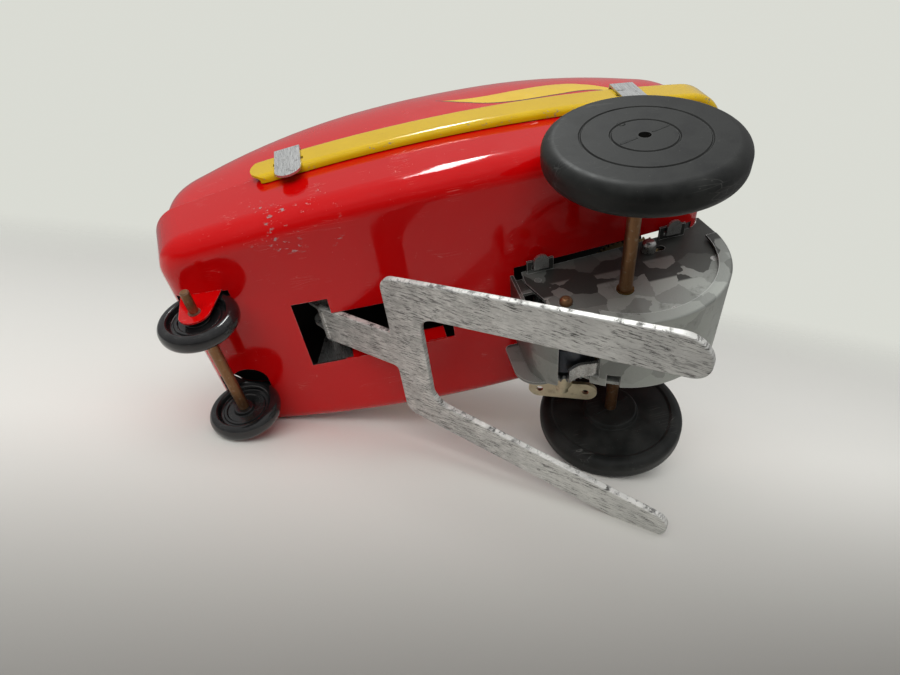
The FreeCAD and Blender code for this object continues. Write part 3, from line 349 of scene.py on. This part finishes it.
def black_rubber():
    """Matt wheel rubber: dust film, scuffs, faint mould lines."""
    p = Paint("black_rubber")
    v = p.raked()
    fine = p.noise(v, 2.6, 6.0, 0.7)
    film = p.ramp(p.noise(v, 0.16, 5.0, 0.65), 0.30, 0.75)
    colour = p.mix(film, (0.0050, 0.0056, 0.0054), (0.016, 0.017, 0.016))
    scuff = scratches(p, v, 0.9, 0.8, thin=0.03, keep=0.56)
    colour = p.mix(p.math("MULTIPLY", scuff, 0.5), colour, (0.11, 0.11, 0.105))
    specks = p.math("MULTIPLY", p.ramp(p.cells(v, 1.6), 0.04, 0.08, 1.0, 0.0),
                    p.ramp(p.noise(v, 0.5, 2.0), 0.55, 0.62))
    colour = p.mix(p.math("MULTIPLY", specks, 0.7), colour, (0.32, 0.31, 0.29))
    edge = p.worn_edges(0.35)
    colour = p.mix(p.math("MULTIPLY", edge, 0.35), colour, (0.09, 0.09, 0.088))
    x, _, z = p.split(v)
    out = p.math("SQRT", p.math("ADD", p.math("MULTIPLY", x, x), p.math("MULTIPLY", z, z)))
    lean = p.math("ADD", p.math("MULTIPLY", x, 0.30), z)
    line = p.math("MULTIPLY", p.ramp(p.math("ABSOLUTE", lean), 0.12, 0.30, 1.0, 0.0),
                  p.math("MULTIPLY", p.ramp(out, 1.7, 2.0), p.ramp(out, 5.5, 5.8, 1.0, 0.0)))
    nub_x, nub_z = p.math("SUBTRACT", x, NUB_X), p.math("SUBTRACT", z, NUB_Z)
    nub_far = p.math("SQRT", p.math("ADD", p.math("MULTIPLY", nub_x, nub_x),
                                    p.math("MULTIPLY", nub_z, nub_z)))
    nub = p.ramp(nub_far, 0.5, 0.9, 1.0, 0.0)
    normal = p.bump(fine, 0.03, 0.6)
    normal = p.bump(p.math("MAXIMUM", line, nub), 0.30, 1.0, normal)
    return p.set(colour=colour, rough=p.blend(film, 0.40, 0.62), normal=normal, specular=0.3)


def black_plastic():
    """Glossy moulded wheels with a little dust and fine rubbing."""
    p = Paint("black_plastic")
    v = p.raked()
    film = p.ramp(p.noise(v, 0.3, 5.0, 0.65), 0.4, 0.8)
    colour = p.mix(film, (0.006, 0.006, 0.0065), (0.014, 0.014, 0.014))
    hair = scratches(p, v, 1.9, 0.4, keep=0.54)
    colour = p.mix(p.math("MULTIPLY", hair, 0.5), colour, (0.16, 0.16, 0.15))
    specks = p.math("MULTIPLY", p.ramp(p.cells(v, 1.9), 0.05, 0.09, 1.0, 0.0),
                    p.ramp(p.noise(v, 0.6, 2.0), 0.56, 0.64))
    colour = p.mix(p.math("MULTIPLY", specks, 0.7), colour, (0.36, 0.33, 0.31))
    normal = p.bump(p.noise(v, 1.0, 3.0), 0.015, 0.5)
    return p.set(colour=colour, rough=p.blend(film, 0.14, 0.30), normal=normal, coat=0.3,
                 coat_rough=0.1)


def galvanised():
    """Zinc-coated sheet: large angular spangles, smudges, bright rubbed edges, and a painted dark
    reflection over its upper part.
    """
    p = Paint("galvanised")
    v = p.raked()
    bent = p.node("ShaderNodeVectorMath", operation="ADD")
    wobble = p.node("ShaderNodeTexNoise")
    p.link(v, wobble.inputs["Vector"])
    wobble.inputs["Scale"].default_value = 0.5
    shift = p.node("ShaderNodeVectorMath", operation="SCALE")
    p.link(wobble.outputs["Color"], shift.inputs[0])
    shift.inputs["Scale"].default_value = 1.2
    p.link(v, bent.inputs[0])
    p.link(shift.outputs[0], bent.inputs[1])
    spangle = p.cells(bent.outputs[0], 0.17, out="Color")
    tone = p.split(spangle)[0]
    fern = p.noise(p.raked((3.0, 0.7, 1.1)), 1.2, 6.0, 0.75)
    jag = p.math("MULTIPLY", p.math("SUBTRACT", tone, 0.5), 14.0)
    # painted reflection: above a jagged height the spangles turn mostly near black, for the dark
    # surroundings the sheet reflects
    high = p.ramp(p.math("ADD", p.split(v)[2], jag), PAINTED_DARK_REFLECTION_Z, PAINTED_DARK_REFLECTION_Z + 1)
    patch = p.blend(high, p.ramp(tone, 0.1, 0.9), p.ramp(tone, 0.75, 0.85, -0.9, -0.2))
    colour = p.mix(p.ramp(patch, -1.0, 1.0), (0.040, 0.041, 0.038), (0.33, 0.345, 0.32))
    colour = p.mix(p.math("MULTIPLY", fern, p.ramp(patch, -0.5, 0.5, 0.05, 0.35)), colour,
                   (0.50, 0.52, 0.49))
    smudge = p.ramp(p.noise(v, 0.17, 6.0, 0.7), 0.53, 0.70)
    colour = p.mix(p.math("MULTIPLY", smudge, 0.5), colour, (0.11, 0.108, 0.10))
    edge = p.worn_edges(0.22)
    colour = p.mix(p.math("MULTIPLY", edge, 0.8), colour, (0.72, 0.73, 0.72))
    rough = p.math("ADD", p.ramp(tone, 0.0, 1.0, 0.38, 0.52), p.math("MULTIPLY", smudge, 0.15))
    normal = p.bump(fern, 0.02, 0.6, p.bump(tone, 0.02, 0.4))
    return p.set(colour=colour, rough=rough, metal=0.6, normal=normal, aniso=0.2)


def painted_shade_inside():
    """The inner face of the body shells, painted brown-black as painted shade inside them, oily in
    patches.
    """
    p = Paint("painted_shade_inside")
    v = p.raked()
    patch = p.noise(v, 0.12, 5.0, 0.65)
    fine = p.noise(v, 1.6, 5.0, 0.7)
    colour = p.mix(patch, (0.010, 0.009, 0.008), (0.040, 0.036, 0.032))
    colour = p.mix(p.ramp(fine, 0.6, 0.75), colour, (0.075, 0.045, 0.025))
    return p.set(colour=colour, rough=p.ramp(patch, 0.3, 0.7, 0.45, 0.75), metal=0.5,
                 normal=p.bump(fine, 0.02, 0.5))


def worn_zinc():
    """Soft grey sheet of the lever: black grime streaks, scratches, and dark rounded edges that are
    painted shade.
    """
    p = Paint("worn_zinc")
    v = p.raked()
    grain = p.noise(p.raked((0.45, 3.2, 0.45)), 0.9, 7.0, 0.72)
    wide = p.noise(v, 0.12, 5.0, 0.65)
    colour = p.mix(p.ramp(wide, 0.3, 0.75), (0.52, 0.52, 0.50), (0.70, 0.70, 0.67))
    yoke = p.ramp(p.split(v)[0], 18.0, 46.0, 0.1, 0.8)
    streak = p.ramp(grain, 0.47, 0.60)
    blotch = p.math("MULTIPLY", yoke, p.ramp(p.noise(v, 0.28, 6.0, 0.75), 0.40, 0.62))
    heavy = p.ramp(p.noise(p.raked((0.6, 1.4, 0.6)), 0.30, 6.0, 0.75), 0.42, 0.60)
    tips = p.math("MULTIPLY", p.ramp(p.split(v)[0], 2.0, 20.0, 0.8, 0.0), p.ramp(wide, 0.25, 0.55))
    heavy = p.math("MAXIMUM", p.math("MAXIMUM", heavy, tips), yoke)
    grime = p.math("MULTIPLY", streak, p.math("ADD", p.math("MULTIPLY", heavy, 0.85), 0.10))
    grime = p.math("MAXIMUM", grime, p.math("MULTIPLY", blotch, 0.45))
    colour = p.mix(grime, colour, (0.045, 0.044, 0.042))
    hair = p.math("MAXIMUM", scratches(p, v, 1.5, 0.2, thin=0.02, keep=0.5),
                  scratches(p, v, 1.2, 1.7, thin=0.02, keep=0.5))
    colour = p.mix(p.math("MULTIPLY", hair, 0.55), colour, (0.74, 0.74, 0.72))
    # painted shade: the rounded edges are darkened in the colour, against the light their fillets
    # catch
    edge = p.worn_edges(0.5)
    dark = p.math("MULTIPLY", edge, p.ramp(p.noise(v, 0.8, 4.0), 0.30, 0.55, 0.45, 0.95))
    colour = p.mix(dark, colour, (0.13, 0.13, 0.125))
    pits = p.bump(grain, 0.05, 0.6)
    normal = p.bump(hair, 0.02, 0.5, pits)
    rough = p.blend(grime, p.ramp(wide, 0.3, 0.7, 0.34, 0.50), 0.7)
    return p.set(colour=colour, rough=rough, metal=0.45, normal=normal)


def metal(name, dark, light, rough, stain=(0.10, 0.08, 0.05), grain=(5.0, 1.0, 5.0), amount=0.5):
    """A plain worked metal: brushed grain, stains in patches and brighter edges."""
    p = Paint(name)
    fine = p.noise(p.raked(grain), 1.0, 6.0, 0.7)
    patch = p.ramp(p.noise(p.raked(), 0.45, 5.0, 0.65), 0.5, 0.72)
    colour = p.mix(fine, dark, light)
    colour = p.mix(p.math("MULTIPLY", patch, amount), colour, stain)
    lift = tuple(min(1.0, c * 1.35) for c in light)
    colour = p.mix(p.math("MULTIPLY", p.worn_edges(0.15), 0.6), colour, lift)
    wear = p.math("ADD", p.ramp(fine, 0.2, 0.8, rough - 0.08, rough + 0.08),
                  p.math("MULTIPLY", patch, 0.15))
    return p.set(colour=colour, rough=wear, metal=0.95, normal=p.bump(fine, 0.015, 0.5), aniso=0.35)


def make_materials():
    """One material for each slot of the record."""
    return {
        "red_litho_tin": red_litho(),
        "red_enamel_tin": red_enamel(),
        "yellow_enamel_tin": yellow_enamel(),
        "bare_tin": bare_tin(),
        "bronze_rod": bronze_rod(),
        "black_gloss_plastic": black_plastic(),
        "black_rubber": black_rubber(),
        "galvanised_sheet": galvanised(),
        "scratched_zinc": worn_zinc(),
        "brass": metal("brass", (0.12, 0.075, 0.025), (0.28, 0.19, 0.075), 0.36),
        "pale_brass": metal("pale_brass", (0.56, 0.49, 0.33), (0.78, 0.71, 0.52), 0.36,
                            stain=(0.20, 0.14, 0.07), amount=0.3),
        "bright_steel": metal("bright_steel", (0.34, 0.34, 0.33), (0.62, 0.61, 0.59), 0.28),
        "spring_steel": metal("spring_steel", (0.035, 0.04, 0.05), (0.12, 0.13, 0.15), 0.34),
        "dark_steel": metal("dark_steel", (0.09, 0.095, 0.095), (0.24, 0.25, 0.25), 0.40),
    }


def paint_nodes():
    """Puts each CAD node's finish on it and shades its round faces smooth."""
    finishes = make_materials()
    for entry in frame["record"]["subparts"]:
        mesh = NODES[entry["node"]].data
        mesh.materials.clear()
        mesh.materials.append(finishes[entry["material_slot"]])
        mesh.shade_smooth()
        mesh.set_sharp_from_angle(angle=SHARP)
    # painted shade: the inward faces of the shells get a near-black second material
    inside = painted_shade_inside()
    for name in ("top_shell", "bottom_pan"):
        NODES[name].data.materials.append(inside)
        darken_inside(NODES[name].data)


def darken_inside(mesh):
    """Gives the second material, the painted shade, to the faces of a shell that look inwards."""
    for face in mesh.polygons:
        at = in_body(face.center)
        turned = Vector((face.normal.x, face.normal.y, face.normal.z))
        middle = Vector((max(-15.0, min(80.0, at.x)), 0.0, 34.0))
        outward = at - middle
        along = turned.x * math.cos(RAKE) - turned.z * math.sin(RAKE)
        up = turned.x * math.sin(RAKE) + turned.z * math.cos(RAKE)
        facing = Vector((along, turned.y, up)).dot(outward.normalized())
        in_slot = abs(at.y) < SLOT_HALF and SLOT_X[0] < at.x < SLOT_X[1]
        ear = at.z < EAR_Z and at.x > EAR_X
        if facing < -0.05 and not in_slot and not ear:
            face.material_index = 1


# ------------------------------------------------------------------ floor, light, camera
def corners_of(node):
    return np.array([v.co for v in NODES[node].data.vertices], float)


def away_over_floor(up):
    """The direction straight away from the camera, laid flat on the floor."""
    away = AIM - EYE
    return (away - up * away.dot(up)).normalized()


def resting_plane():
    """The floor the car lies on: it touches the front axle's right end, the lever's right
    leg and the rim of the right rear wheel. Returns a point and the upward direction."""
    axle = corners_of("front_axle")
    nose = axle[axle[:, 1].argmin()]
    lever = corners_of("flip_lever")
    right = lever[lever[:, 1] < RIGHT_LEG_Y]
    leg = right[right[:, 2].argmin()]
    wheel = corners_of("rear_wheel_right")
    touch = wheel[wheel[:, 1].argmin()]
    up = np.array([0.0, 1.0, 0.0])
    for _ in range(SETTLE_ROUNDS):
        up = np.cross(leg - touch, nose - touch)
        up = up / np.linalg.norm(up)
        up = up if up[1] > 0 else -up
        touch = wheel[(wheel @ up).argmin()]
    return Vector(touch), Vector(up)


def paper(painted_light_way):
    """Matt paper, seen only from its upper face: painted shade darkens it near the camera, and
    painted light brightens it far off, before it fades into the plain surroundings. Its argument is
    the way in which the painted light grows, in its own axes."""
    p = Paint("paper")
    grain = p.noise(p.place, 900.0, 5.0, 0.6)
    wide = p.noise(p.place, 5.0, 3.0)
    dot = p.node("ShaderNodeVectorMath", operation="DOT_PRODUCT")
    p.link(p.place, dot.inputs[0])
    dot.inputs[1].default_value = painted_light_way
    along = dot.outputs["Value"]
    # painted shade and light: the paper's colour runs from dark near the camera to pale far off and
    # towards the left
    tone = p.ramp(along, NEAR_PAINTED_SHADE, FAR_PAINTED_LIGHT)
    tone = p.math("ADD", tone, p.math("MULTIPLY", p.math("SUBTRACT", wide, 0.5), 0.08))
    p.set(colour=p.mix(tone, (0.060, 0.055, 0.049), (0.78, 0.775, 0.735)), rough=0.6, specular=0.2,
          normal=p.bump(grain, 0.05, 0.12))
    length = p.node("ShaderNodeVectorMath", operation="LENGTH")
    p.link(p.place, length.inputs[0])
    fade = p.ramp(length.outputs["Value"], FADE_FROM, FADE_TO)
    geometry = p.node("ShaderNodeNewGeometry")
    hidden = p.math("MAXIMUM", geometry.outputs["Backfacing"], fade)
    clear = p.node("ShaderNodeBsdfTransparent")
    choose = p.node("ShaderNodeMixShader")
    p.link(hidden, choose.inputs[0])
    p.link(p.bsdf.outputs[0], choose.inputs[1])
    p.link(clear.outputs[0], choose.inputs[2])
    p.link(choose.outputs[0], p.tree.nodes["Material Output"].inputs["Surface"])
    return p.mat


def make_floor():
    """A wide sheet of pale paper under the resting car."""
    point, up = resting_plane()
    mesh = bpy.data.meshes.new("floor")
    bm = bmesh.new()
    bmesh.ops.create_grid(bm, x_segments=24, y_segments=24, size=FLOOR_HALF)
    bm.to_mesh(mesh)
    bm.free()
    floor = bpy.data.objects.new("floor", mesh)
    turn = up.to_track_quat("Z", "Y").to_matrix()
    middle = AXLE + Vector((CAR_MIDDLE_X, 0, 0))
    middle -= up * (middle - point).dot(up)
    floor.matrix_world = Matrix.Translation(middle) @ turn.to_4x4()
    away = away_over_floor(up)
    # the way in which the painted light on the paper grows: away from the camera and to the left
    painted_light_way = away - away.cross(up) * PAINTED_LIGHT_LEFT
    mesh.materials.append(paper(turn.transposed() @ painted_light_way))
    bpy.context.scene.collection.objects.link(floor)
    return up


def area_light(name, where, aim, size, power, colour=(1, 1, 1)):
    """A rectangular studio light, size across and along, turned to face aim."""
    lamp = bpy.data.lights.new(name, "AREA")
    lamp.shape = "RECTANGLE"
    lamp.size, lamp.size_y = size
    lamp.energy = power
    lamp.color = colour
    made = bpy.data.objects.new(name, lamp)
    made.location = where
    made.rotation_euler = (Vector(aim) - Vector(where)).to_track_quat("-Z", "Y").to_euler()
    bpy.context.scene.collection.objects.link(made)
    return made


def make_world(up):
    """Plain pale surroundings to the camera; light from above and dim sides to the car."""
    world = bpy.data.worlds.new("studio")
    bpy.context.scene.world = world
    world.use_nodes = True
    tree = world.node_tree
    sky = tree.nodes["Background"]
    coords = tree.nodes.new("ShaderNodeTexCoord")
    height = tree.nodes.new("ShaderNodeVectorMath")
    height.operation = "DOT_PRODUCT"
    height.inputs[1].default_value = up
    tree.links.new(coords.outputs["Generated"], height.inputs[0])
    level = tree.nodes.new("ShaderNodeMapRange")
    level.inputs["From Min"].default_value = 0.15
    level.inputs["From Max"].default_value = 0.95
    level.inputs["To Min"].default_value = 0.28
    level.inputs["To Max"].default_value = 0.55
    tree.links.new(height.outputs["Value"], level.inputs["Value"])
    seen = tree.nodes.new("ShaderNodeLightPath")
    choose = tree.nodes.new("ShaderNodeMix")
    choose.data_type = "RGBA"
    tree.links.new(seen.outputs["Is Camera Ray"], choose.inputs[0])
    tree.links.new(level.outputs[0], choose.inputs[6])
    choose.inputs[7].default_value = (0.70, 0.71, 0.655, 1)
    tree.links.new(choose.outputs[2], sky.inputs["Color"])


def make_light(up):
    """A narrow lamp seen only as a streak in the gloss, and two wide lamps that only shine."""
    make_world(up)
    middle = AXLE + Vector((CAR_MIDDLE_X, 0, 0.01))
    away = away_over_floor(up)
    side = away.cross(up)

    def placed(name, raised, along, across, size, power, colour=(1, 1, 1)):
        where = middle + up * raised + away * along + side * across
        return area_light(name, where, middle, size, power, colour)
    streak = placed("lamp", 0.9, 0.05, -0.22, (0.12, 0.5), 4.4, (0.97, 1.0, 0.98))
    streak.visible_diffuse = False
    soft = placed("soft", 0.75, -0.40, -0.1, (1.0, 0.8), 3.6)
    fill = placed("fill", 0.38, -0.70, -0.15, (0.7, 0.4), 4.6, (1.0, 0.985, 0.96))
    for wide in (soft, fill):
        wide.visible_glossy = False


def make_camera():
    data = bpy.data.cameras.new("camera")
    data.lens = LENS
    data.sensor_width = 36.0
    data.clip_start = 0.005
    camera = bpy.data.objects.new("camera", data)
    back = (EYE - AIM).normalized()
    right = UPWARD.cross(back).normalized()
    up = back.cross(right)
    camera.matrix_world = Matrix.Translation(EYE) @ Matrix((right, up, back)).transposed().to_4x4()
    bpy.context.scene.collection.objects.link(camera)
    bpy.context.scene.camera = camera


paint_nodes()
make_light(make_floor())
make_camera()
bpy.context.scene.view_settings.view_transform = "Standard"
